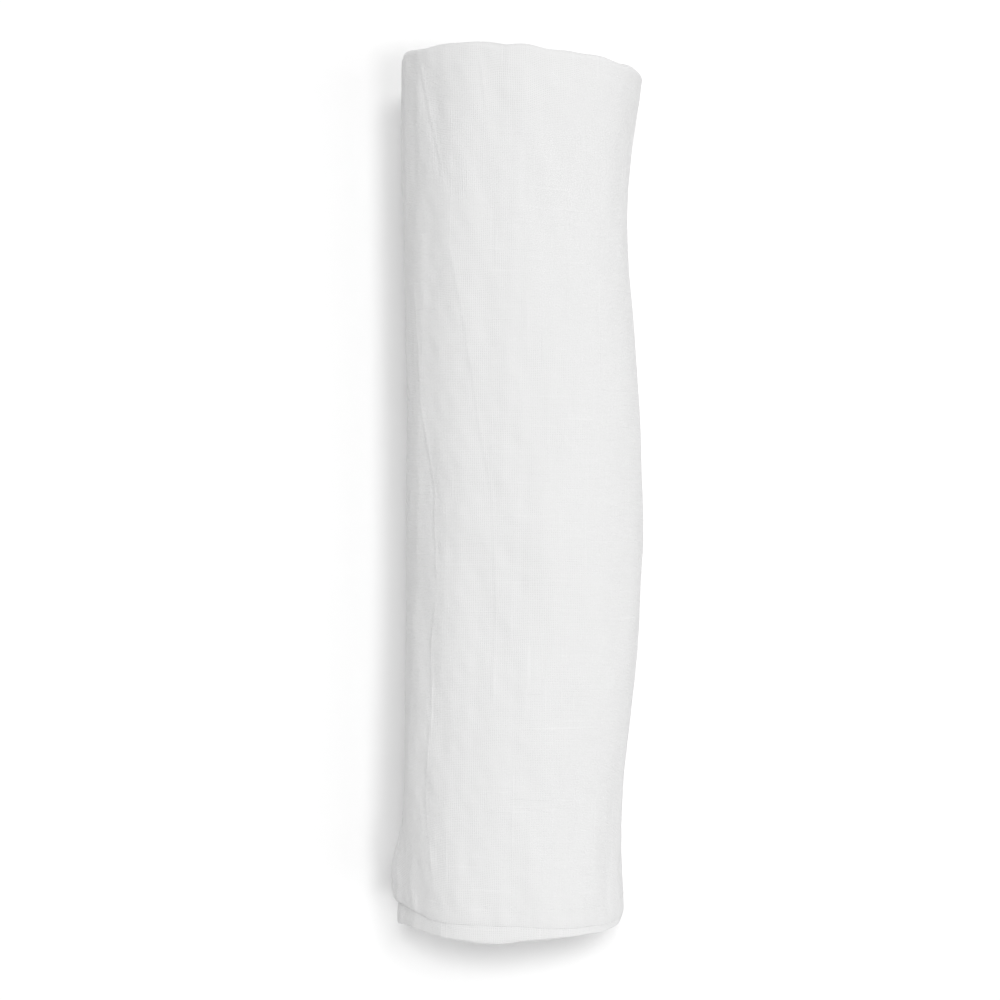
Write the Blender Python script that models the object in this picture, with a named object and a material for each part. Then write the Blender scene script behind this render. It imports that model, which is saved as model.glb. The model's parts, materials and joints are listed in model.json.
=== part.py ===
"""A muslin baby wrap, folded in quarters to a four-ply strip and rolled up, lying on its side.

Metres, +Z up. The roll's axis runs along Y. The origin is on the surface that the roll lies on, under the
middle of its box. Seen from the -Y end with +X to the right, the cloth winds anticlockwise from the core out,
and its free edge lies halfway up the left side. Winding angles are in degrees: 0 is +X, 90 is +Z, and the last
turn runs from FREE_EDGE_ANGLE - 360 to FREE_EDGE_ANGLE. Inner turns have lower angles.

The last stretch of the turn is the flap: strips of the same cloth, hinged along its outer face, that
straighten one after another as the free edge is lifted.
"""

import math

import bmesh
import bpy

# The cloth.
CLOTH_LENGTH = 1.200  # wound length, from the start edge to the free edge
ROLL_LENGTH = 0.300  # width of the folded strip
PLY_THICKNESS = 0.00045
PLY_SPACING = 0.00091  # from one ply to the next: the muslin is wound loosely
HEM_WIDTH = 0.008
HEM_THICKNESS = 0.00075  # the turned and sewn edge of one ply
OUTER_HEM_STEP = 0.0045  # how far the outer ply's side hem stops short of the roll's end
INNER_HEM_STEP = 0.0015  # the same for the side hem of the ply under it

# The winding.
CORE_RADIUS = 0.0055  # mean radius of the hollow down the middle
FLATTENING = 0.06  # how much wider, and less tall, the roll is than a round one
FLAT_SECTOR = (255.0, 285.0)  # the sector that lies flat on the surface under the roll
FREE_EDGE_ANGLE = 180.0
STEP = 15.0  # between one drawn station of the winding and the next

# The flap.
FLAP_ANGLE = 120.0  # how much of the last turn opens
FLAP_STRIPS = 4

# Seams and label.
THREAD = 0.0003
HEM_SEAM_INSET = 0.0065  # from the edge of the cloth to its line of stitching
SEAM_END_CLEARANCE = 0.001  # the thread stops this far from a hinge line or the cloth's edge
LABEL_WIDTH = 0.012
LABEL_LENGTH = 0.030
LABEL_THICKNESS = 0.0004
LABEL_INSET = 0.006  # from the roll's end

CLEARANCE = 0.0003  # between pieces that touch

COLOURS = {
    "muslin": (0.84, 0.84, 0.83, 1.0),
    "thread": (0.86, 0.86, 0.85, 1.0),
    "satin": (0.90, 0.90, 0.89, 1.0),
}
ROUGHNESS = {"muslin": 0.9, "thread": 0.6, "satin": 0.45}

PLIES = 4
PITCH = PLIES * PLY_SPACING  # how much the mean radius grows in one turn
CLOTH_FACE = (PLIES - 0.5) * PLY_SPACING + PLY_THICKNESS / 2  # outer face, above the turn's inner limit
HEM_FACE = (PLIES - 0.5) * PLY_SPACING + HEM_THICKNESS / 2
FLAP_START = FREE_EDGE_ANGLE - FLAP_ANGLE


def outline(angle):
    """Radius of the roll's outline at a winding angle, over its mean radius: an ellipse cut flat below."""
    wide = 1 + FLATTENING
    tall = 1 - FLATTENING

    def ellipse(degrees):
        a = math.radians(degrees)
        return wide * tall / math.hypot(tall * math.cos(a), wide * math.sin(a))

    low, high = FLAT_SECTOR
    if low < angle % 360 < high:
        depth = ellipse(low) * abs(math.sin(math.radians(low)))
        return depth / abs(math.sin(math.radians(angle)))
    return ellipse(angle)


def turns_grown(angle):
    """Turns of growth up to a winding angle. The radius doesn't grow along the flat sector."""
    low, high = FLAT_SECTOR
    whole, rest = divmod(angle - low, 360)
    flat = high - low
    return whole + max(0.0, rest - flat) / (360 - flat)


def flat_point(angle, start, offset):
    """X and Z of a point, about the middle of the core, on the winding that begins at start."""
    radius = CORE_RADIUS + PITCH * (turns_grown(angle) - turns_grown(start)) + offset
    radius *= outline(angle)
    a = math.radians(angle)
    return radius * math.cos(a), radius * math.sin(a)


def stations(first, last):
    """The winding angles from first to last that are drawn: both ends and the whole steps between them."""
    least = STEP / 4
    found = [first]
    step = math.floor(first / STEP) + 1
    while step * STEP < last - least:
        if step * STEP > found[-1] + least:
            found.append(step * STEP)
        step += 1
    return found + [last]


def wound_length(first, last, start):
    """Length of the cloth's middle between two winding angles."""
    points = [flat_point(angle, start, PITCH / 2) for angle in stations(first, last)]
    return sum(math.dist(a, b) for a, b in zip(points, points[1:]))


def solve(function, low, high):
    """The argument between low and high where a rising function is zero."""
    for _ in range(50):
        middle = (low + high) / 2
        if function(middle) < 0:
            low = middle
        else:
            high = middle
    return (low + high) / 2


def find_start():
    """The winding angle of the start edge: the whole cloth is wound between it and the free edge."""
    fewest, most = 1, 40
    return solve(
        lambda angle: CLOTH_LENGTH - wound_length(angle, FREE_EDGE_ANGLE, angle),
        FREE_EDGE_ANGLE - 360 * most,
        FREE_EDGE_ANGLE - 360 * fewest,
    )


START_ANGLE = find_start()


def angle_after(first, length):
    """The winding angle where this length of cloth has been wound past first."""
    return solve(
        lambda angle: wound_length(first, angle, START_ANGLE) - length,
        first,
        first + 360,
    )


def angle_before(last, length):
    """The winding angle that lies this length of cloth before last."""
    return solve(
        lambda angle: length - wound_length(angle, last, START_ANGLE),
        last - 360,
        last,
    )


def find_centre():
    """X and Z of the middle of the core that put the last turn on Z = 0 with the origin midway across it."""
    hem_begins = angle_before(FREE_EDGE_ANGLE, HEM_WIDTH)
    outer_face = []
    for angle in stations(FREE_EDGE_ANGLE - 360, FREE_EDGE_ANGLE):
        face = HEM_FACE if angle > hem_begins else CLOTH_FACE
        outer_face.append(flat_point(angle, START_ANGLE, face))
    seam = CLEARANCE + THREAD  # the side seam stands this far above the right side
    left = min(x for x, z in outer_face)
    right = max(x for x, z in outer_face) + seam * (1 + FLATTENING)
    return -(left + right) / 2, -min(z for x, z in outer_face)


CENTRE_X, CENTRE_Z = find_centre()


def place(angle, offset, y):
    """A world point at a winding angle, an offset above its turn's inner limit and a place along the roll."""
    x, z = flat_point(angle, START_ANGLE, offset)
    return CENTRE_X + x, y, CENTRE_Z + z


def folded_section(thickness):
    """Outline of the strip folded in quarters, as (offset, y) points, for plies of this thickness.

    The outer ply's side hem comes first. The cloth folds over the +Y end to the innermost ply, back over the
    -Y end to the ply above it, and over again inside the first fold. It ends in the second ply's side hem.
    """
    levels = [(n + 0.5) * PLY_SPACING for n in range(PLIES)]
    end = ROLL_LENGTH / 2
    far = end - thickness / 2
    inner_far = far - PLY_SPACING
    middle = [
        (levels[3], -end + OUTER_HEM_STEP),
        (levels[3], far),
        (levels[0], far),
        (levels[0], -far),
        (levels[1], -far),
        (levels[1], inner_far),
        (levels[2], inner_far),
        (levels[2], -end + INNER_HEM_STEP),
    ]
    return thickened(middle, thickness / 2)


def thickened(line, half):
    """A closed outline this far to each side of a line whose bends are all square."""
    steps = [(b[0] - a[0], b[1] - a[1]) for a, b in zip(line, line[1:])]
    ways = [(s[0] / math.hypot(*s), s[1] / math.hypot(*s)) for s in steps]
    ways = [ways[0], *ways, ways[-1]]
    sides = []
    for point, before, after in zip(line, ways, ways[1:]):
        straight = before == after
        left = (-before[1] - (0 if straight else after[1]), before[0] + (0 if straight else after[0]))
        sides.append(
            (
                (point[0] + half * left[0], point[1] + half * left[1]),
                (point[0] - half * left[0], point[1] - half * left[1]),
            )
        )
    return [side[0] for side in sides] + [side[1] for side in reversed(sides)]


def box_section(low, high, near, far):
    """A rectangle between two offsets and two places along the roll."""
    return [(low, near), (high, near), (high, far), (low, far)]


def material(name):
    found = bpy.data.materials.get(name)
    if found:
        return found
    made = bpy.data.materials.new(name)
    made.use_nodes = True
    shader = made.node_tree.nodes["Principled BSDF"]
    shader.inputs["Base Color"].default_value = COLOURS[name]
    shader.inputs["Roughness"].default_value = ROUGHNESS[name]
    shader.inputs["Metallic"].default_value = 0.0
    return made


def sweep(name, section, first, last, cloth, pivot=None, parent=None):
    """A solid made by carrying a section along the winding. Its origin is at pivot, a world point."""
    origin = pivot or (0.0, 0.0, 0.0)
    solid = bmesh.new()
    rings = []
    for angle in stations(first, last):
        corners = [place(angle, offset, y) for offset, y in section]
        local = [[c - o for c, o in zip(corner, origin)] for corner in corners]
        rings.append([solid.verts.new(point) for point in local])
    for ring, following in zip(rings, rings[1:]):
        for n in range(len(section)):
            m = (n + 1) % len(section)
            solid.faces.new((ring[n], ring[m], following[m], following[n]))
    solid.faces.new(rings[0])
    solid.faces.new(rings[-1])
    bmesh.ops.recalc_face_normals(solid, faces=solid.faces[:])
    mesh = bpy.data.meshes.new(name)
    solid.to_mesh(mesh)
    solid.free()
    mesh.materials.append(material(cloth))
    mesh.shade_smooth()
    mesh.set_sharp_from_angle(angle=math.radians(STEP * 2))
    made = bpy.data.objects.new(name, mesh)
    bpy.context.scene.collection.objects.link(made)
    if parent:
        made.parent = parent
    else:
        made.location = origin
    return made


def hinge_empty(name, point, parent, parent_point):
    """An empty on a hinge's axis, which runs along Y."""
    made = bpy.data.objects.new(name, None)
    made.empty_display_size = 0.01
    made.parent = parent
    made.location = [a - b for a, b in zip(point, parent_point)]
    bpy.context.scene.collection.objects.link(made)
    return made


def half_gap(angle):
    """Degrees of half a clearance between strips at a hinge line."""
    radius = math.hypot(*flat_point(angle, START_ANGLE, CLOTH_FACE))
    return math.degrees(CLEARANCE / 2 / radius)


def seam_margin(angle):
    """Degrees that the thread keeps from a hinge line."""
    return half_gap(angle) * 2 * SEAM_END_CLEARANCE / CLEARANCE


def side_seam(face):
    """Section of the thread along the outer ply's side hem, above a face at this offset."""
    y = -ROLL_LENGTH / 2 + OUTER_HEM_STEP + HEM_SEAM_INSET
    low = face + CLEARANCE
    return box_section(low, low + THREAD, y - THREAD / 2, y + THREAD / 2)


def end_seam(low):
    """Section of a thread that runs the roll's length at this offset, along an end hem."""
    near = -ROLL_LENGTH / 2 + OUTER_HEM_STEP + SEAM_END_CLEARANCE
    far = ROLL_LENGTH / 2 - HEM_THICKNESS - SEAM_END_CLEARANCE
    return box_section(low, low + THREAD, near, far)


def build_roll():
    """The part of the cloth that stays wound, with its start edge, its side seam and the care label."""
    cloth = folded_section(PLY_THICKNESS)
    hem_end = angle_after(START_ANGLE, HEM_WIDTH)
    cloth_begins = angle_after(START_ANGLE, HEM_WIDTH + CLEARANCE)
    sweep("start_edge_hem", folded_section(HEM_THICKNESS), START_ANGLE, hem_end, "muslin")
    sweep("wound_cloth", cloth, cloth_begins, FLAP_START - half_gap(FLAP_START), "muslin")

    seam_from = angle_after(START_ANGLE, HEM_SEAM_INSET)
    seam_to = angle_after(START_ANGLE, HEM_SEAM_INSET + THREAD)
    inner_face = PLY_SPACING / 2 - HEM_THICKNESS / 2
    under_hem = inner_face - CLEARANCE - THREAD
    sweep("start_edge_stitching", end_seam(under_hem), seam_from, seam_to, "thread")

    seam_start = FLAT_SECTOR[1] - 360 + STEP
    seam_end = FLAP_START - seam_margin(FLAP_START)
    sweep("side_hem_stitching", side_seam(CLOTH_FACE), seam_start, seam_end, "thread")

    # The label hangs in the core, sewn in at the start edge by its own edge.
    label_near = -ROLL_LENGTH / 2 + LABEL_INSET
    label_top = under_hem - CLEARANCE
    label = box_section(label_top - LABEL_THICKNESS, label_top, label_near, label_near + LABEL_LENGTH)
    label_end = angle_after(START_ANGLE, LABEL_WIDTH)
    sweep("care_label", label, START_ANGLE, label_end, "satin")


def build_flap():
    """Strips of the last stretch of cloth, each parented to the empty on its hinge."""
    cloth = folded_section(PLY_THICKNESS)
    strip_angle = FLAP_ANGLE / FLAP_STRIPS
    hem_begins = angle_before(FREE_EDGE_ANGLE, HEM_WIDTH)
    last_strip_ends = angle_before(FREE_EDGE_ANGLE, HEM_WIDTH + CLEARANCE)
    parent = None
    parent_point = (0.0, 0.0, 0.0)
    for n in range(1, FLAP_STRIPS + 1):
        first = FLAP_START + (n - 1) * strip_angle
        last = first + strip_angle
        pivot = place(first, CLOTH_FACE, 0.0)
        parent = hinge_empty(f"flap_hinge_{n}", pivot, parent, parent_point)
        parent_point = pivot
        ends_in_hem = n == FLAP_STRIPS
        cloth_ends = last_strip_ends if ends_in_hem else last - half_gap(last)
        seam_ends = cloth_ends if ends_in_hem else last - seam_margin(last)
        sweep(f"flap_strip_{n}", cloth, first + half_gap(first), cloth_ends, "muslin", pivot, parent)
        sweep(
            f"flap_side_stitching_{n}",
            side_seam(CLOTH_FACE),
            first + seam_margin(first),
            seam_ends,
            "thread",
            pivot,
            parent,
        )
    hem = folded_section(HEM_THICKNESS)
    sweep("free_edge_hem", hem, hem_begins, FREE_EDGE_ANGLE, "muslin", pivot, parent)
    seam_to = angle_before(FREE_EDGE_ANGLE, HEM_SEAM_INSET)
    seam_from = angle_before(FREE_EDGE_ANGLE, HEM_SEAM_INSET + THREAD)
    seam = end_seam(HEM_FACE + CLEARANCE)
    sweep("free_edge_stitching", seam, seam_from, seam_to, "thread", pivot, parent)


for leftover in list(bpy.data.objects):
    bpy.data.objects.remove(leftover, do_unlink=True)
build_roll()
build_flap()
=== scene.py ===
"""The rolled muslin baby wrap, dressed: layered cloth, hems, stitching, label, stage, light and camera."""

import json
import math

import bpy
import numpy as np
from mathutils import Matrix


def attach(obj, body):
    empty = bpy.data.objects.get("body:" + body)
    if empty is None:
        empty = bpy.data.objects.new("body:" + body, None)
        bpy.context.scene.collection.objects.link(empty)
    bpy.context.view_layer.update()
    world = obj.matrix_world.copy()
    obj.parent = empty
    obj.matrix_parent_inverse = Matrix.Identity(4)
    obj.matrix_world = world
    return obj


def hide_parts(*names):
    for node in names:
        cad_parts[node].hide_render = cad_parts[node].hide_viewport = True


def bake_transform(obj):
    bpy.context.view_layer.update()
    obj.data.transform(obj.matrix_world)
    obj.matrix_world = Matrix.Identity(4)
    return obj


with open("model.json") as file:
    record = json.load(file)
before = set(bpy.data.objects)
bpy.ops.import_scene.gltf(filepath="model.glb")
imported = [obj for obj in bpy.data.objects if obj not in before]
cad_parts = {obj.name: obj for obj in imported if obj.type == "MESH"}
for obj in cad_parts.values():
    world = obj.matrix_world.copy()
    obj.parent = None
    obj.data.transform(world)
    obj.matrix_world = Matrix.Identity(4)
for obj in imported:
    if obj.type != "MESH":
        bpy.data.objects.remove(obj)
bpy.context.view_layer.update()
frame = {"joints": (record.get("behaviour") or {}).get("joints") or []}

# ------------------------------------------------ the sizes, as in the CAD model except where a line says so
CLOTH_LENGTH = 1.200
ROLL_LENGTH = 0.300
PLIES = 4
PLY_THICKNESS = 0.00045
PLY_SPACING = 0.00091
PITCH = PLIES * PLY_SPACING
CLOTH_FACE = (PLIES - 0.5) * PLY_SPACING + PLY_THICKNESS / 2
HEM_WIDTH = 0.008
HEM_THICKNESS = 0.00065  # the CAD model's is 0.75 mm: a pressed hem looks thinner
OUTER_HEM_STEP = 0.0045
INNER_HEM_STEP = 0.0015
HEM_SEAM_INSET = 0.0065
OUTER_HEM_EDGE = -ROLL_LENGTH / 2 + OUTER_HEM_STEP
SEAM_DEPTH = 0.00002  # how far the stitching pulls each face in: not in the CAD model
CORE_RADIUS = 0.0055
FLATTENING = 0.06
FLAT_SECTOR = (255.0, 285.0)
FREE_EDGE_ANGLE = 180.0
FLAP_ANGLE = 120.0
FLAP_STRIPS = 4
STRIP_ANGLE = FLAP_ANGLE / FLAP_STRIPS
FLAP_START = FREE_EDGE_ANGLE - FLAP_ANGLE
OUTER_START = FLAP_START - 15 - 360  # the finely drawn outer cloth begins here, a turn before its end
OUTER_END = FLAP_START - STRIP_ANGLE / 2  # and ends here, half a strip before the first hinge
LOOSE_FROM, LOOSE_TO = -120, -60  # winding angles over which the outermost ply comes free of the roll
HEM_REACH = 0.02  # within this distance of its edge, a ply is drawn with its hem
BODIES = ["roll"] + [f"flap_{n}" for n in range(1, FLAP_STRIPS + 1)]

THREAD_RADIUS = 0.00007  # the CAD model's thread is a 0.3 mm run
STITCH_PITCH = 0.0029
STITCH_LENGTH = 0.0024
LABEL_WIDTH = 0.012
LABEL_LENGTH = 0.030
LABEL_THICKNESS = 0.00032  # the CAD model's is 0.4 mm
LABEL_INSET = 0.006
YARN_PITCH = 0.00058
CLOTH_TONE = 0.838

# ---------------------------------------------------------------- the cloth's shape beyond the CAD model
# Swells and hollows of the roll: place along Y, winding angle, reach along Y, reach in degrees, height, and
# how fast it fades towards the core (a power of the share of the outer radius).
SWELLS = (
    (0.010, 5, 0.085, 48, 0.0010, 1.5),
    (0.098, 5, 0.038, 48, -0.0058, 1.5),
    (-0.119, 5, 0.030, 48, -0.0072, 1.5),
    (0.152, 5, 0.011, 40, 0.0017, 1.5),
    (0.000, 136, 0.500, 21, 0.0036, 1.5),
    (0.000, 44, 0.500, 21, 0.0020, 1.5),
    (-0.090, 150, 0.045, 14, 0.0012, 1.5),
    (-0.045, 180, 0.062, 38, -0.0024, 1.5),
    (0.060, 180, 0.050, 38, -0.0010, 1.5),
    (-0.100, 182, 0.026, 30, -0.0012, 1.5),
    (0.130, 178, 0.045, 35, 0.0008, 2.0),
    (-0.020, 95, 0.020, 26, -0.0008, 4.0),
    (0.0015, 126, 0.0060, 14, -0.0009, 5.0),
    (-0.0090, 116, 0.0060, 20, 0.0009, 5.0),
    (-0.100, 60, 0.018, 18, -0.0006, 6.0),
    (-0.095, 122, 0.030, 16, -0.0006, 6.0),
    (0.060, 118, 0.040, 12, -0.0005, 6.0),
)

# How far each turn's -Y end is drawn in, by winding angle. These two follow the edges seen in the photo.
END_SLIP = (
    (0, 0.0063), (8, 0.0060), (15, 0.0048), (25, 0.0032), (45, 0.0025), (65, 0.0021), (80, 0.0017),
    (95, 0.0003), (115, 0.0), (125, 0.0006), (150, 0.0031), (165, 0.0031), (180, 0.0015), (200, 0.0010),
    (270, 0.0030), (340, 0.0060), (360, 0.0063),
)

# How much more the outer ply's hem is drawn in, by winding angle on the last turn.
OUTER_EDGE_SLIP = (
    (-60, 0.0), (-20, -0.0030), (5, -0.0040), (15, -0.0029), (25, -0.0020), (65, -0.0013), (85, 0.0002),
    (97, 0.0016), (112, 0.0021), (130, 0.0013), (138, 0.0013), (150, 0.0025), (160, 0.0034), (170, 0.0047),
    (175, 0.0064), (180, 0.0100),
)

# Pinched folds: route as (y, winding angle) points, reach in degrees, height.
CREASES = (
    (((0.150, 147), (0.137, 144), (0.128, 141), (0.110, 134), (0.098, 131)), 0.62, 0.00017),
    (((0.074, 153), (0.060, 150), (0.030, 146), (0.014, 141), (-0.004, 137), (-0.035, 135)), 0.66, 0.00017),
    (((-0.030, 135), (-0.052, 139), (-0.072, 137), (-0.106, 140), (-0.140, 134)), 0.60, 0.00014),
    (((0.150, 116), (0.140, 113), (0.122, 110)), 0.60, 0.00012),
    (((0.090, 131), (0.070, 125), (0.056, 121), (0.022, 113), (-0.002, 106), (-0.036, 104), (-0.075, 106)),
     0.66, 0.00010),
    (((0.016, 62), (0.006, 60)), 0.55, 0.00016),
)


# ---------------------------------------------------------------- the winding
def outline(angle):
    """Radius of the roll's outline at a winding angle, over its mean radius."""
    wide, tall = 1 + FLATTENING, 1 - FLATTENING

    def ellipse(a):
        return wide * tall / np.hypot(tall * np.cos(a), wide * np.sin(a))

    low, high = FLAT_SECTOR
    a = np.radians(angle)
    polar = np.mod(angle, 360)
    depth = ellipse(math.radians(low)) * abs(math.sin(math.radians(low)))
    in_flat = (polar > low) & (polar < high)
    return np.where(in_flat, depth / np.maximum(np.abs(np.sin(a)), 0.5), ellipse(a))


def turns_grown(angle):
    low, high = FLAT_SECTOR
    whole, rest = np.divmod(np.asarray(angle, float) - low, 360)
    flat = high - low
    return whole + np.maximum(0.0, rest - flat) / (360 - flat)


def mean_radius(angle, start):
    return CORE_RADIUS + PITCH * (turns_grown(angle) - turns_grown(start))


def lengths_along(angles, start):
    """Length wound from the first of these angles to each of them."""
    radius = (mean_radius(angles, start) + PITCH / 2) * outline(angles)
    x, z = radius * np.cos(np.radians(angles)), radius * np.sin(np.radians(angles))
    return np.concatenate([[0.0], np.cumsum(np.hypot(np.diff(x), np.diff(z)))])


def find_start():
    low, high = FREE_EDGE_ANGLE - 360 * 20, FREE_EDGE_ANGLE - 360
    for _ in range(40):
        middle = (low + high) / 2
        angles = np.append(np.arange(middle, FREE_EDGE_ANGLE, 5.0), FREE_EDGE_ANGLE)
        if lengths_along(angles, middle)[-1] > CLOTH_LENGTH:
            low = middle
        else:
            high = middle
    return (low + high) / 2


START_ANGLE = find_start()
OUTER_RADIUS = float(mean_radius(FREE_EDGE_ANGLE, START_ANGLE)) + CLOTH_FACE
HINGES = {joint["name"]: joint for joint in frame["joints"]}


def find_centre():
    """X and Z of the middle of the core, from where the CAD model puts the flap's first hinge."""
    x, _, z = HINGES["flap_lift"]["pos_m"]
    reach = (float(mean_radius(FLAP_START, START_ANGLE)) + CLOTH_FACE) * float(outline(FLAP_START))
    a = math.radians(FLAP_START)
    return x - reach * math.cos(a), z - reach * math.sin(a)


CENTRE_X, CENTRE_Z = find_centre()
TABLE_ANGLES = np.append(np.arange(START_ANGLE, FREE_EDGE_ANGLE, 2.0), FREE_EDGE_ANGLE)
TABLE_LENGTHS = lengths_along(TABLE_ANGLES, START_ANGLE)


def length_at(angle):
    return np.interp(angle, TABLE_ANGLES, TABLE_LENGTHS)


def angle_at(length):
    return np.interp(length, TABLE_LENGTHS, TABLE_ANGLES)


# ------------------------------------------------ how the drawn cloth strays from the plain winding
def smooth(value, low, high):
    t = np.clip((value - low) / (high - low), 0, 1)
    return t * t * (3 - 2 * t)


def bump(value, reach):
    return np.exp(-0.5 * (value / reach) ** 2)


def turned(angle, about):
    """Degrees from one angle to another the short way round."""
    return np.mod(angle - about + 180, 360) - 180


def waves(points, wavelength, seed, count=14):
    """A smooth random field from -1 to 1 or so, with features of about this size along each axis."""
    random = np.random.default_rng(seed)
    total = np.zeros(points[0].shape)
    for _ in range(count):
        way = random.normal(size=3)
        way /= np.linalg.norm(way)
        pace = random.uniform(0.7, 1.5) * 2 * math.pi
        phase = random.uniform(0, 2 * math.pi)
        turn = sum(w * p / size for w, p, size in zip(way, points, wavelength))
        total += np.sin(turn * pace + phase)
    return total / math.sqrt(count)


def crease_depth(angle, y, route, reach):
    """A pinched fold along a route of (y, angle) points: 1 on it, a little under 0 beside it, then 0."""
    ys, angles = zip(*sorted(route))
    middle = np.interp(y, ys, angles)
    ends = smooth(y, ys[0], ys[0] + 0.012) * (1 - smooth(y, ys[-1] - 0.012, ys[-1]))
    away = turned(angle, middle)
    return (bump(away, reach) - 0.45 * bump(away - 2.3 * reach, 1.5 * reach)) * ends


def shape(angle, offset, y, loose=0.0):
    """World points of the cloth at winding angles, offsets above the turn's inner limit and places along Y.

    loose is 0, or up to 1 on the outermost ply of the last turn, which nothing holds down.
    """
    angle, offset, y = np.broadcast_arrays(
        np.asarray(angle, float), np.asarray(offset, float), np.asarray(y, float)
    )
    radius = mean_radius(angle, START_ANGLE) + offset
    depth = radius / OUTER_RADIUS
    a = np.radians(angle)
    reach = radius * outline(angle)
    held = 1 - bump(turned(angle, 270), 22)  # the underside is pressed flat by the roll's weight
    flat_x, flat_z = reach * np.cos(a), reach * np.sin(a)

    rise = np.zeros(angle.shape)
    for place_y, place_angle, reach_y, reach_angle, height, fade in SWELLS:
        near = bump(y - place_y, reach_y) * bump(turned(angle, place_angle), reach_angle)
        rise += height * near * depth**fade
    rise += 0.00055 * waves((flat_x, y, flat_z), (0.030, 0.110, 0.030), 3) * depth**1.2
    rise += 0.00022 * waves((flat_x, y, flat_z), (0.013, 0.032, 0.013), 8) * depth**4
    rise += 0.00010 * waves((flat_x, y, flat_z), (0.006, 0.011, 0.006), 21) * depth**10
    for route, width, height in CREASES:
        rise += height * crease_depth(angle, y, route, width) * depth**12

    # The free corner of the outer ply curls away from the roll, and its hem puckers.
    rise += 0.0014 * bump(y + 0.1520, 0.0160) * smooth(angle, 150, 176)
    corner = bump(y + 0.1365, 0.0085) * smooth(angle, 150, 177)
    rise += loose * 0.0020 * corner
    second_ply = bump(offset - 2.5 * PLY_SPACING, 0.35 * PLY_SPACING) * smooth(angle, LOOSE_FROM, LOOSE_TO)
    pressed = 1 - smooth(y, -0.1460, -0.1340)
    rise -= pressed * (0.00036 * loose + 0.00017 * second_ply)
    rise -= loose * 0.00024 * (1 - smooth(y, OUTER_HEM_EDGE, OUTER_HEM_EDGE + 0.0026))
    pucker = waves((length_at(angle), 0 * y, 0 * y), (0.0065, 1, 1), 5)
    rise += loose * 0.00010 * pucker * (1 - smooth(y, OUTER_HEM_EDGE + 0.004, OUTER_HEM_EDGE + 0.016))

    x = flat_x + rise * held * np.cos(a)
    z = flat_z + rise * held * np.sin(a)

    # The ends slant a little, and the turns slide a little past each other.
    far = smooth(y, 0.02, ROLL_LENGTH / 2)
    near = smooth(-y, 0.02, ROLL_LENGTH / 2)
    across = x / 0.04
    slide = waves((length_at(angle) / 3, 0 * y, 0 * y), (0.030, 1, 1), 11)
    fine = waves((length_at(angle), 0 * y, 0 * y), (0.012, 1, 1), 17)
    rumple = 0.00026 + 0.00040 * bump(turned(angle, 132), 20)
    shift = far * (-0.0004 - 0.0023 * across - 0.0019 * across**2 + 0.0004 * slide + rumple * fine)
    shift -= far * 0.0008 * bump(across - 0.75, 0.45)
    shift += near * (-0.0004 + 0.0003 * slide + 0.00016 * fine - 0.0009 * second_ply + 0.0011 * (1 - depth))
    shift += near * loose * np.interp(angle, *zip(*OUTER_EDGE_SLIP))
    shift -= near * 0.0014 * smooth(angle, 110, 178)
    shift += near * (0.5 + 0.5 * depth) * np.interp(angle % 360, *zip(*END_SLIP))
    folded_under = 1 - smooth(offset, 1.6 * PLY_SPACING, 2.3 * PLY_SPACING)
    shift += near * 0.0012 * folded_under * smooth(angle, 100, 170)
    return np.stack([CENTRE_X + x, y + shift, CENTRE_Z + z], axis=-1)


# ---------------------------------------------------------------- the folded strip's section
def graded(length, fine, coarse, growth=1.5):
    """Distances from 0 to length: fine steps at both ends that grow to coarse ones in the middle."""
    steps, step = [0.0], fine
    while steps[-1] < length / 2:
        steps.append(steps[-1] + step)
        step = min(step * growth, coarse)
    half = np.array(steps) * (length / 2 / steps[-1])
    return np.concatenate([half, length - half[-2::-1]])


def hem_distances():
    """Distances from a hemmed edge: over its rounded lip, its flat, its seam and the ledge where it ends."""
    lip = [0, 0.00012, 0.0004, 0.0009]
    flat = np.arange(0.0016, 0.0056, 0.0008)
    seam = np.arange(0.0057, 0.0074, 0.00028)
    ledge = [0.0076, 0.0079, 0.0082, 0.0086, 0.0092]
    return np.concatenate([lip, flat, seam, ledge])


def hem_samples(length, coarse):
    """Distances along a ply from its hem's edge: close together over the hem and its seam."""
    rest = graded(length - 0.0112, 0.0011, coarse) + 0.0112
    return np.concatenate([hem_distances(), [0.0101], rest])


def fold(level_from, level_to, y, way, reach, count):
    """Points round a fold from one ply level to another, bulging along Y by reach."""
    turn = np.linspace(0, math.pi, count + 2)[1:-1]
    middle, half = (level_from + level_to) / 2, (level_from - level_to) / 2
    return middle + half * np.cos(turn), y + way * reach * np.sin(turn)


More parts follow.
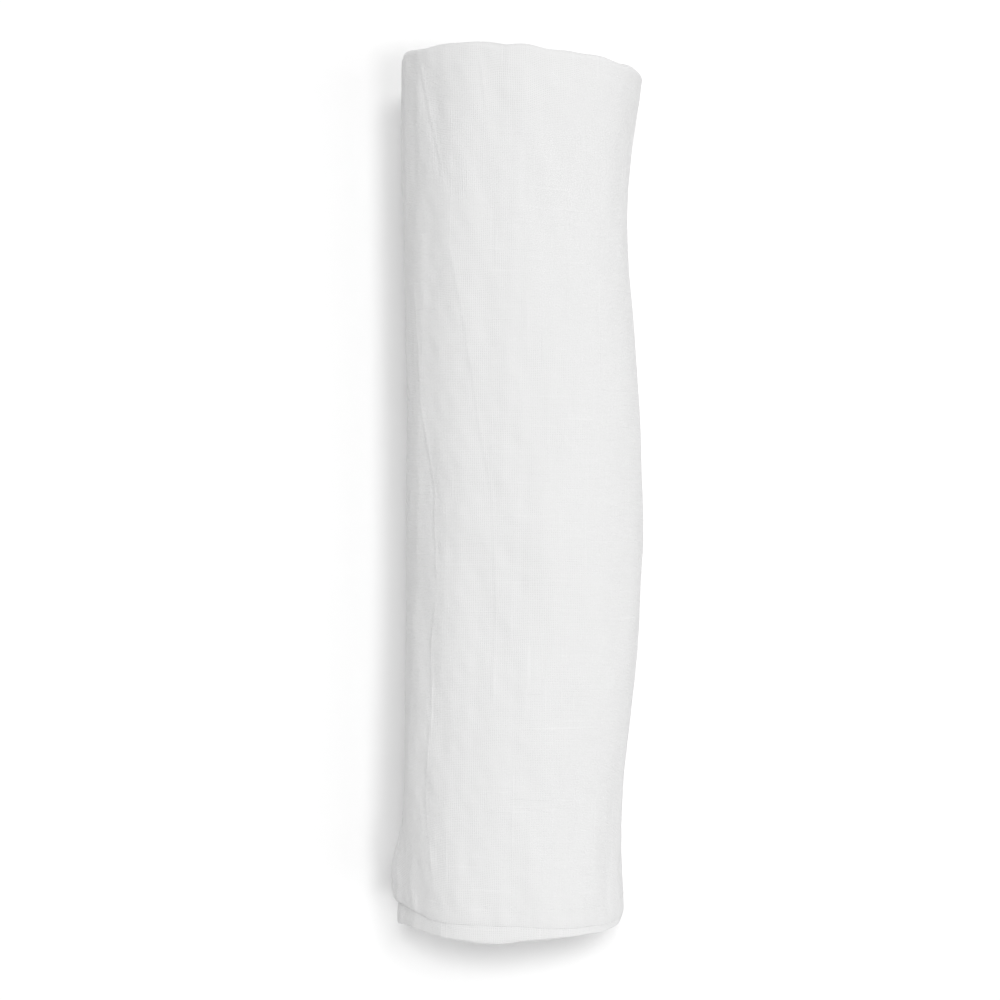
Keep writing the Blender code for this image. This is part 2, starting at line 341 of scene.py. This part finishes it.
def section(step, coarse):
    """The folded strip's middle line: offset, y, distance across the cloth, its normal and which ply it is.

    step is the spacing on the outer ply, and coarse the spacing on those under it.
    """
    levels = [(n + 0.5) * PLY_SPACING for n in range(PLIES)]
    end = ROLL_LENGTH / 2
    bulge = 0.0016
    far = end - PLY_THICKNESS / 2 - bulge
    outer_hem, inner_hem = -end + OUTER_HEM_STEP, -end + INNER_HEM_STEP
    inner_far = far - PLY_SPACING / 2
    near = -end + PLY_THICKNESS / 2 + 0.0005
    parts = []

    def ply(number, level, start, stop, distances):
        way = np.sign(stop - start)
        parts.append((np.full(len(distances), level), start + way * distances, number))

    ply(1, levels[3], outer_hem, far, hem_samples(far - outer_hem, step))
    parts.append((*fold(levels[3], levels[0], far, 1, bulge, 9), 0))
    ply(4, levels[0], far, near, graded(far - near, 0.0012, coarse))
    parts.append((*fold(levels[0], levels[1], near, -1, 0.0005, 5), 0))
    ply(3, levels[1], near, inner_far, graded(inner_far - near, 0.0012, coarse))
    parts.append((*fold(levels[1], levels[2], inner_far, 1, 0.0006, 5), 0))
    length = inner_far - inner_hem
    ply(2, levels[2], inner_far, inner_hem, length - hem_samples(length, coarse)[::-1])

    offset = np.concatenate([p[0] for p in parts])
    y = np.concatenate([p[1] for p in parts])
    ply_number = np.concatenate([np.full(len(p[0]), p[2]) for p in parts])
    along = np.stack([np.gradient(offset), np.gradient(y)])
    along /= np.linalg.norm(along, axis=0)
    across = np.concatenate([[0.0], np.cumsum(np.hypot(np.diff(offset), np.diff(y)))])
    return {
        "offset": offset,
        "y": y,
        "normal": np.stack([along[1], -along[0]]),
        "u": across,
        "from_end": across[-1] - across,
        "ply": ply_number,
    }


def hem_thickness(distance):
    """Thickness of one ply at a distance from its hemmed edge."""
    folded = 1 - smooth(distance, HEM_WIDTH - 0.0008, HEM_WIDTH + 0.0008)
    body = PLY_THICKNESS + (HEM_THICKNESS - PLY_THICKNESS) * folded
    seam = SEAM_DEPTH * bump(distance - HEM_SEAM_INSET, 0.0004)
    rounded = 0.5 * np.sqrt(np.clip(distance / 0.0005, 0.08, 1)) + 0.5 * smooth(distance, 0, 0.0026)
    return (body - seam) * rounded


def both_sides(line, angles, last_turn):
    """Grids of points, and of distances across the cloth, on the strip's two faces at each winding angle."""
    to_start = length_at(angles)[:, None]
    to_free = CLOTH_LENGTH - length_at(angles)[:, None]
    sideways = np.minimum(hem_thickness(line["u"]), hem_thickness(line["from_end"]))
    to_side = np.minimum(line["u"], line["from_end"])
    sideways = np.where(to_side > HEM_REACH, PLY_THICKNESS, sideways)[None, :]
    endways = np.minimum(hem_thickness(to_start), hem_thickness(to_free))
    in_side_hem = to_side[None, :] < HEM_REACH
    in_end_hem = np.minimum(to_start, to_free) < HEM_REACH
    thickness = np.where(in_side_hem & in_end_hem, np.minimum(sideways, endways),
                         np.where(in_end_hem, endways, sideways))
    loose = 0.0
    if last_turn:
        outer = smooth(line["offset"], PLY_SPACING * 2.2, PLY_SPACING * 3.4)[None, :]
        loose = outer * smooth(angles, LOOSE_FROM, LOOSE_TO)[:, None]
    faces = []
    for side in (1, -1):
        offset = line["offset"][None, :] + side * line["normal"][0][None, :] * thickness / 2
        y = line["y"][None, :] + side * line["normal"][1][None, :] * thickness / 2
        faces.append(shape(angles[:, None], offset, y, loose))
    return faces


def ring_normals(grid):
    """Smooth normals of a grid of points that closes on itself along its second axis."""
    along = np.gradient(grid, axis=0)
    around = np.roll(grid, -1, axis=1) - np.roll(grid, 1, axis=1)
    normal = np.cross(around, along)
    return normal / np.maximum(np.linalg.norm(normal, axis=2, keepdims=True), 1e-12)


def facing_out(points, faces):
    """These faces of a closed mesh, all turned round if they face inwards."""
    first, second, third = (points[[face[k] for face in faces]] for k in (0, 1, 2))
    fourth = points[[face[3 % len(face)] for face in faces]]
    volume = np.einsum("ij,ij->", first, np.cross(second, third))
    volume += np.einsum("ij,ij->", first, np.cross(third, fourth))
    return faces if volume > 0 else [face[::-1] for face in faces]


def build_mesh(name, points, faces, uvs=None, normals=None):
    points = points.reshape(-1, 3)
    mesh = bpy.data.meshes.new(name)
    mesh.from_pydata(points.tolist(), [], facing_out(points - points.mean(axis=0), faces))
    mesh.shade_smooth()
    if uvs is not None:
        layer = mesh.uv_layers.new(name="Weave")
        corner = np.empty(len(mesh.loops), np.int32)
        mesh.loops.foreach_get("vertex_index", corner)
        layer.data.foreach_set("uv", uvs[corner].astype(np.float32).ravel())
    if normals is not None:
        mesh.normals_split_custom_set_from_vertices(normals.reshape(-1, 3).tolist())
    made = bpy.data.objects.new(name, mesh)
    bpy.context.scene.collection.objects.link(made)
    return made


def cloth_piece(name, line, angles, skip, last_turn):
    """A closed length of the folded strip between the first and last winding angles.

    skip is how many points of the outer face there are to one of the hidden inner face, on the outer ply.
    """
    step = angles[1] - angles[0]
    before = max(angles[0] - step, START_ANGLE)
    after = min(angles[-1] + (angles[-1] - angles[-2]), FREE_EDGE_ANGLE)
    padded = np.concatenate([[before], angles, [after]])
    outer, inner = both_sides(line, padded, last_turn)
    count = len(line["u"])
    hidden = (line["ply"] == 1) & (line["u"] > 0.012) & (line["u"] < 0.28)
    keep = np.flatnonzero(~hidden | (np.arange(count) % skip == 0))
    grid = np.concatenate([outer, inner[:, keep[::-1]]], axis=1)
    normals = ring_normals(grid)[1:-1]
    grid = grid[1:-1]
    rings, around = grid.shape[:2]
    first = np.arange(rings - 1)[:, None] * around + np.arange(around)[None, :]
    following = np.arange(rings - 1)[:, None] * around + (np.arange(around)[None, :] + 1) % around
    quads = np.stack([first, first + around, following + around, following], axis=-1).reshape(-1, 4).tolist()
    place_in_ring = {k: count + i for i, k in enumerate(keep[::-1])}
    caps = []
    for a, b in zip(keep, keep[1:]):
        caps.append([place_in_ring[a], *range(a, b + 1), place_in_ring[b]])
    base = (rings - 1) * around
    quads += caps
    quads += [[base + i for i in cap[::-1]] for cap in caps]
    u = np.concatenate([line["u"], line["u"][keep[::-1]]])
    uvs = np.stack(np.broadcast_arrays(u[None, :], length_at(angles)[:, None]), axis=-1).reshape(-1, 2)
    return build_mesh(name, grid, quads, uvs, normals)


# ---------------------------------------------------------------- stitching and label
def stitch_run(name, stitches):
    """One mesh of small rounded stitches. Each stitch is a function of t, from 0 to 1, that gives the winding
    angle, offset and y of its middle, with the direction that its radius takes across it."""
    sides, stations = 6, 5
    points, faces = [], []
    for middle, sideways in stitches:
        t = np.linspace(0, 1, stations)
        angle, offset, y = middle(t)
        girth = THREAD_RADIUS * np.sqrt(np.clip(1 - (2 * t - 1) ** 2 * 0.93, 0, 1))
        sunk = THREAD_RADIUS * 1.1 * (2 * t - 1) ** 4
        base = len(points)
        for k in range(sides):
            turn = 2 * math.pi * k / sides
            across, up = girth * math.cos(turn), girth * math.sin(turn) - sunk
            if sideways == "y":
                ring = shape(angle, offset + up, y + across, 1.0)
            else:
                ring = shape(angle + np.degrees(across / OUTER_RADIUS), offset + up, y, 1.0)
            points.extend(ring.tolist())
        for k in range(sides):
            m = (k + 1) % sides
            for s in range(stations - 1):
                a, b = base + k * stations + s, base + m * stations + s
                faces.append([a, b, b + 1, a + 1])
        faces.append([base + k * stations for k in range(sides)][::-1])
        faces.append([base + k * stations + stations - 1 for k in range(sides)])
    return build_mesh(name, np.array(points), faces)


THREAD_REACH = (HEM_THICKNESS - SEAM_DEPTH) / 2 + THREAD_RADIUS * 0.35  # from a hem's middle to its thread's
OUTER_SEAM = (PLIES - 0.5) * PLY_SPACING + THREAD_REACH
START_SEAM = PLY_SPACING / 2 - THREAD_REACH


def side_stitches(first, last):
    """Stitches along the outer ply's side hem between two winding angles."""
    y = -ROLL_LENGTH / 2 + OUTER_HEM_STEP + HEM_SEAM_INSET
    lengths = np.arange(float(length_at(first)), float(length_at(last)) - STITCH_LENGTH / 2, STITCH_PITCH)
    made = []
    for begin in lengths:
        def middle(t, s=begin):
            return angle_at(s + STITCH_LENGTH * t), OUTER_SEAM + 0 * t, y + 0 * t

        made.append((middle, "y"))
    return made


def end_stitches(length, offset):
    """Stitches along an end hem, at this wound length."""
    begin = -ROLL_LENGTH / 2 + OUTER_HEM_STEP + 0.001
    angle = float(angle_at(length))
    made = []
    for y in np.arange(begin, ROLL_LENGTH / 2 - 0.005, STITCH_PITCH):
        def middle(t, s=y):
            return angle + 0 * t, offset + 0 * t, s + STITCH_LENGTH * t

        made.append((middle, "angle"))
    return made


def label_piece(name):
    """The blank satin label, curled in the core with its edge under the start hem."""
    top = PLY_SPACING / 2 - HEM_THICKNESS / 2 - 0.0009
    widths = np.linspace(0.0003, LABEL_WIDTH, 25)
    angles = START_ANGLE + np.degrees(widths / (CORE_RADIUS + top))
    ys = -ROLL_LENGTH / 2 + LABEL_INSET + np.linspace(0, LABEL_LENGTH, 21)
    grid_a, grid_y = np.meshgrid(angles, ys, indexing="ij")
    curl = 0.00025 * np.sin(grid_y * 190)
    upper = shape(grid_a, top + curl, grid_y)
    lower = shape(grid_a, top - LABEL_THICKNESS + curl, grid_y)
    rows, columns = upper.shape[:2]
    points = np.concatenate([upper.reshape(-1, 3), lower.reshape(-1, 3)])
    under = rows * columns
    faces = []
    for i in range(rows - 1):
        for j in range(columns - 1):
            a = i * columns + j
            faces.append([a, a + 1, a + columns + 1, a + columns])
            faces.append([under + a, under + a + columns, under + a + columns + 1, under + a + 1])
    rim = list(range(columns))
    rim += [i * columns + columns - 1 for i in range(1, rows)]
    rim += [(rows - 1) * columns + j for j in range(columns - 2, -1, -1)]
    rim += [i * columns for i in range(rows - 2, 0, -1)]
    for a, b in zip(rim, rim[1:] + rim[:1]):
        faces.append([b, a, under + a, under + b])
    flat_a, flat_y = np.broadcast_arrays(widths[:, None], ys[None, :])
    uvs = np.stack([flat_y.ravel(), flat_a.ravel()], axis=-1)
    return build_mesh(name, points, faces, np.concatenate([uvs, uvs]))


# ---------------------------------------------------------------- materials
class Nodes:
    """Short calls for a material's node tree."""

    def __init__(self, name):
        self.material = bpy.data.materials.new(name)
        self.material.use_nodes = True
        self.tree = self.material.node_tree
        self.shader = self.tree.nodes["Principled BSDF"]

    def add(self, kind, **values):
        node = self.tree.nodes.new(kind)
        for key, value in values.items():
            setattr(node, key, value)
        return node

    def feed(self, socket, value):
        if isinstance(value, bpy.types.NodeSocket):
            self.tree.links.new(value, socket)
        else:
            socket.default_value = value

    def math(self, operation, a, b=0.0, c=0.0):
        node = self.add("ShaderNodeMath", operation=operation)
        for socket, value in zip(node.inputs, (a, b, c)):
            self.feed(socket, value)
        return node.outputs[0]

    def noise(self, vector, scale, detail=2.0, rough=0.5):
        node = self.add("ShaderNodeTexNoise", noise_dimensions="2D")
        self.feed(node.inputs["Vector"], vector)
        node.inputs["Scale"].default_value = scale
        node.inputs["Detail"].default_value = detail
        node.inputs["Roughness"].default_value = rough
        return node.outputs["Fac"]

    def scaled(self, vector, x, y):
        node = self.add("ShaderNodeVectorMath", operation="MULTIPLY")
        self.feed(node.inputs[0], vector)
        node.inputs[1].default_value = (x, y, 0.0)
        return node.outputs[0]

    def stretch(self, value, low, high, to_low=0.0, to_high=1.0):
        node = self.add("ShaderNodeMapRange", interpolation_type="SMOOTHSTEP")
        self.feed(node.inputs[0], value)
        for socket, number in zip(list(node.inputs)[1:5], (low, high, to_low, to_high)):
            socket.default_value = number
        return node.outputs[0]

    def grey(self, value, tint=(1.0, 1.0, 1.0)):
        node = self.add("ShaderNodeCombineColor")
        for socket, share in zip(node.inputs, tint):
            self.feed(socket, self.math("MULTIPLY", value, share))
        return node.outputs[0]

    def bump(self, height, strength, distance):
        node = self.add("ShaderNodeBump")
        node.inputs["Strength"].default_value = strength
        node.inputs["Distance"].default_value = distance
        self.feed(node.inputs["Height"], height)
        self.feed(self.shader.inputs["Normal"], node.outputs[0])


def muslin():
    """Plain-woven white cotton: warp across the strip, weft along it, uneven yarns and slubs."""
    n = Nodes("muslin_weave")
    uv = n.add("ShaderNodeUVMap", uv_map="Weave").outputs[0]
    split = n.add("ShaderNodeSeparateXYZ")
    wander = n.math("SUBTRACT", n.noise(uv, 55.0, 3.0), 0.5)
    wander_more = n.math("SUBTRACT", n.noise(n.scaled(uv, 0.8, 1.3), 90.0, 2.0), 0.5)
    n.feed(split.inputs[0], uv)
    turns = math.pi / YARN_PITCH
    x = n.math("MULTIPLY_ADD", split.outputs[0], turns, n.math("MULTIPLY", wander, 5.0))
    y = n.math("MULTIPLY_ADD", split.outputs[1], turns, n.math("MULTIPLY", wander_more, 5.0))
    sine_x, sine_y = n.math("SINE", x), n.math("SINE", y)
    over = n.math("MULTIPLY", sine_x, sine_y)

    # Yarns run unevenly: each has thick and thin stretches, and a few have slubs.
    warp_uneven = n.noise(n.scaled(uv, 0.045, 1.0), 1 / YARN_PITCH * 0.8, 2.0)
    weft_uneven = n.noise(n.scaled(uv, 1.0, 0.045), 1 / YARN_PITCH * 0.8, 2.0)
    warp_slub = n.stretch(n.noise(n.scaled(uv, 0.020, 1.0), 900.0, 1.0), 0.70, 0.80)
    weft_slub = n.stretch(n.noise(n.scaled(uv, 1.0, 0.020), 900.0, 1.0), 0.70, 0.80)
    slub = n.math("ADD", warp_slub, weft_slub)

    warp = n.math("MULTIPLY", n.math("ABSOLUTE", sine_y), n.math("MULTIPLY_ADD", over, 0.32, 0.62))
    weft = n.math("MULTIPLY", n.math("ABSOLUTE", sine_x), n.math("MULTIPLY_ADD", over, -0.32, 0.62))
    warp = n.math("MULTIPLY", warp, n.math("MULTIPLY_ADD", warp_uneven, 0.9, 0.55))
    weft = n.math("MULTIPLY", weft, n.math("MULTIPLY_ADD", weft_uneven, 0.9, 0.55))
    weave = n.math("MAXIMUM", warp, weft)
    fuzz = n.noise(uv, 5200.0, 3.0, 0.7)
    height = n.math("MULTIPLY_ADD", slub, 0.35, n.math("MULTIPLY_ADD", fuzz, 0.25, weave))

    cloudy = n.math("MULTIPLY_ADD", n.noise(uv, 28.0, 3.0), 0.014, -0.007)
    streaks = n.math("ADD", warp_uneven, weft_uneven)
    # Painted shade: the colour is a little darker where the yarns are low, in the gaps between them.
    tone = n.math("MULTIPLY_ADD", n.stretch(weave, 0.0, 0.75), 0.005, CLOTH_TONE)
    tone = n.math("MULTIPLY_ADD", streaks, 0.008, n.math("ADD", tone, -0.008))
    tone = n.math("ADD", n.math("MULTIPLY_ADD", slub, 0.02, tone), cloudy)
    n.feed(n.shader.inputs["Base Color"], n.grey(tone))
    n.feed(n.shader.inputs["Roughness"], n.stretch(fuzz, 0.2, 0.8, 0.86, 0.98))
    n.shader.inputs["Sheen Weight"].default_value = 0.12
    n.shader.inputs["Sheen Roughness"].default_value = 0.6
    n.shader.inputs["Specular IOR Level"].default_value = 0.25
    n.bump(height, 0.54, 0.00026)
    return n.material


def thread_material():
    n = Nodes("stitching_thread")
    place_on = n.add("ShaderNodeTexCoord").outputs["Object"]
    twist = n.add("ShaderNodeTexWave", bands_direction="DIAGONAL")
    n.feed(twist.inputs["Vector"], place_on)
    twist.inputs["Scale"].default_value = 900.0
    twist.inputs["Distortion"].default_value = 1.5
    n.feed(n.shader.inputs["Base Color"], n.grey(n.stretch(twist.outputs["Fac"], 0, 1, 0.84, 0.90)))
    n.feed(n.shader.inputs["Roughness"], n.stretch(twist.outputs["Fac"], 0, 1, 0.62, 0.50))
    n.shader.inputs["Sheen Weight"].default_value = 0.1
    n.bump(twist.outputs["Fac"], 0.4, 0.00006)
    return n.material


def satin_material():
    n = Nodes("label_satin")
    uv = n.add("ShaderNodeUVMap", uv_map="Weave").outputs[0]
    floats = n.noise(n.scaled(uv, 1.0, 0.16), 9000.0, 2.0)
    shade = n.noise(uv, 120.0, 2.0)
    tone = n.math("MULTIPLY_ADD", floats, 0.05, n.math("MULTIPLY_ADD", shade, 0.04, 0.76))
    n.feed(n.shader.inputs["Base Color"], n.grey(tone))
    n.feed(n.shader.inputs["Roughness"], n.stretch(floats, 0.2, 0.8, 0.34, 0.48))
    n.shader.inputs["Anisotropic"].default_value = 0.5
    n.bump(floats, 0.25, 0.00005)
    return n.material


# ---------------------------------------------------------------- the pieces
def angles_between(first, last, step):
    return np.linspace(first, last, max(2, int(round((last - first) / step)) + 1))


def build_cloth(cloth):
    """The whole cloth, in lengths; all but the flap's follow CAD bodies. Each hinge lies in the middle of one
    length.
    """
    fine = section(0.0014, 0.016)
    plain = section(0.016, 0.020)
    made = []

    core_end = float(angle_at(0.010))
    core_angles = np.unique(np.concatenate([
        [START_ANGLE],
        angle_at(np.array([0.0002, 0.0006, 0.0015, 0.003, 0.005, 0.0062, 0.0065, 0.0068, 0.0078, 0.0084])),
        angles_between(core_end, OUTER_START, 6.0),
    ]))
    inner = cloth_piece("rolled_cloth_inner", plain, core_angles, 1, False)
    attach(inner, "roll")
    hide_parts("start_edge_hem")
    made.append((inner, OUTER_START, START_ANGLE, []))

    outer = cloth_piece("rolled_cloth_outer", fine, angles_between(OUTER_START, OUTER_END, 1.5), 8, True)
    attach(outer, "roll")
    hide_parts("wound_cloth")
    made.append((outer, OUTER_END, OUTER_START, ["rolled_cloth_inner"]))

    for n in range(1, FLAP_STRIPS + 1):
        first = OUTER_END + (n - 1) * STRIP_ANGLE
        last = first + STRIP_ANGLE
        piece = cloth_piece(f"flap_cloth_{n}", fine, angles_between(first, last, 0.45), 8, True)
        plain_point(first)
        plain_point(last)
        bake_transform(piece)
        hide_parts(f"flap_strip_{n}")
        made.append((piece, last, first, ["rolled_cloth_outer"]))

    first = OUTER_END + FLAP_STRIPS * STRIP_ANGLE
    hem_angles = angle_at(CLOTH_LENGTH - hem_distances())[::-1]
    end_angles = np.concatenate([angles_between(first, float(hem_angles[0]) - 0.5, 0.6), hem_angles])
    edge = cloth_piece("free_edge_cloth", fine, end_angles, 8, True)
    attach(edge, BODIES[-1])
    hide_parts("free_edge_hem")
    made.append((edge, FREE_EDGE_ANGLE, first, ["rolled_cloth_outer"]))

    for piece, last, first, rests_on in made:
        piece.data.materials.append(cloth)


def plain_point(angle):
    """The CAD model's point on the cloth's outer face at a winding angle, halfway along the roll."""
    reach = (float(mean_radius(angle, START_ANGLE)) + CLOTH_FACE) * float(outline(angle))
    a = math.radians(angle)
    return CENTRE_X + reach * math.cos(a), 0.0, CENTRE_Z + reach * math.sin(a)


def build_stitching(thread):
    made = []
    piece = stitch_run("side_hem_stitches", side_stitches(-150, OUTER_END))
    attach(piece, "roll")
    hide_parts("side_hem_stitching")
    made.append(piece)

    for n in range(1, FLAP_STRIPS + 1):
        first = OUTER_END + (n - 1) * STRIP_ANGLE
        last = first + STRIP_ANGLE
        piece = stitch_run(f"flap_side_stitches_{n}", side_stitches(first, last))
        plain_point(first)
        plain_point(last)
        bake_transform(piece)
        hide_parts(f"flap_side_stitching_{n}")
        made.append(piece)

    last_run = side_stitches(OUTER_END + FLAP_STRIPS * STRIP_ANGLE, FREE_EDGE_ANGLE - 1.5)
    end_run = end_stitches(CLOTH_LENGTH - HEM_SEAM_INSET, OUTER_SEAM)
    piece = stitch_run("free_edge_stitches", last_run + end_run)
    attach(piece, BODIES[-1])
    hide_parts("free_edge_stitching")
    made.append(piece)

    piece = stitch_run("start_edge_stitches", end_stitches(HEM_SEAM_INSET, START_SEAM))
    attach(piece, "roll")
    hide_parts("start_edge_stitching")
    made.append(piece)
    for piece in made:
        piece.data.materials.append(thread)


def build_label(satin):
    piece = label_piece("blank_label")
    piece.data.materials.append(satin)
    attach(piece, "roll")
    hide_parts("care_label")


# ---------------------------------------------------------------- stage, light and camera
FLOOR_HALF_WIDTH = 6.0
FLOOR_DROP = 0.0002  # just under the roll
CAMERA_HEIGHT = 1.0
CAMERA_ASIDE = (-0.0072, -0.0021)
CAMERA_TURN = 0.5  # degrees
SENSOR_WIDTH = 36.0
FOCAL_LENGTHS = 2.796  # the focal length over the sensor's width, for a camera at 1 m
WORLD_LEVEL = 0.362
# The lights were fitted to the photo's shading, then changed.
LIGHTS = (
    # name, the way to it, strength, degrees across
    ("key", (0.0, 0.25, 1.0), 0.80, 10),
    ("second", (0.20, 0.30, 1.0), 0.67, 14),
    ("third", (0.25, -0.15, 1.0), 0.45, 10),
    ("side", (0.80, -0.20, 1.0), 0.375, 30),
)


def build_stage():
    half = FLOOR_HALF_WIDTH
    corners = [(-half, -half, 0), (half, -half, 0), (half, half, 0), (-half, half, 0)]
    mesh = bpy.data.meshes.new("floor")
    mesh.from_pydata(corners, [], [(0, 1, 2, 3)])
    floor = bpy.data.objects.new("floor", mesh)
    floor.location.z = -FLOOR_DROP
    bpy.context.scene.collection.objects.link(floor)
    n = Nodes("white_floor")
    n.shader.inputs["Base Color"].default_value = (1.0, 1.0, 1.0, 1.0)
    n.shader.inputs["Roughness"].default_value = 1.0
    n.shader.inputs["Specular IOR Level"].default_value = 0.0
    mesh.materials.append(n.material)


def build_light():
    world = bpy.data.worlds.new("studio")
    world.use_nodes = True
    background = world.node_tree.nodes["Background"]
    background.inputs[0].default_value = (1.0, 1.0, 1.0, 1.0)
    background.inputs[1].default_value = WORLD_LEVEL
    bpy.context.scene.world = world
    for name, way, strength, across in LIGHTS:
        sun = bpy.data.lights.new(name, "SUN")
        sun.energy = strength
        sun.angle = math.radians(across)
        light = bpy.data.objects.new(name, sun)
        way = np.array(way) / np.linalg.norm(way)
        light.rotation_euler = (math.acos(way[2]), 0.0, math.atan2(way[0], -way[1]))
        bpy.context.scene.collection.objects.link(light)


def build_camera():
    data = bpy.data.cameras.new("camera")
    data.sensor_width = SENSOR_WIDTH
    data.lens = SENSOR_WIDTH * FOCAL_LENGTHS * CAMERA_HEIGHT
    camera = bpy.data.objects.new("camera", data)
    camera.location = (*CAMERA_ASIDE, CAMERA_HEIGHT)
    camera.rotation_euler = (0.0, 0.0, math.radians(CAMERA_TURN))
    bpy.context.scene.collection.objects.link(camera)
    bpy.context.scene.camera = camera
    bpy.context.scene.view_settings.view_transform = "Standard"


build_camera()
build_light()
build_stage()
build_cloth(muslin())
build_stitching(thread_material())
build_label(satin_material())
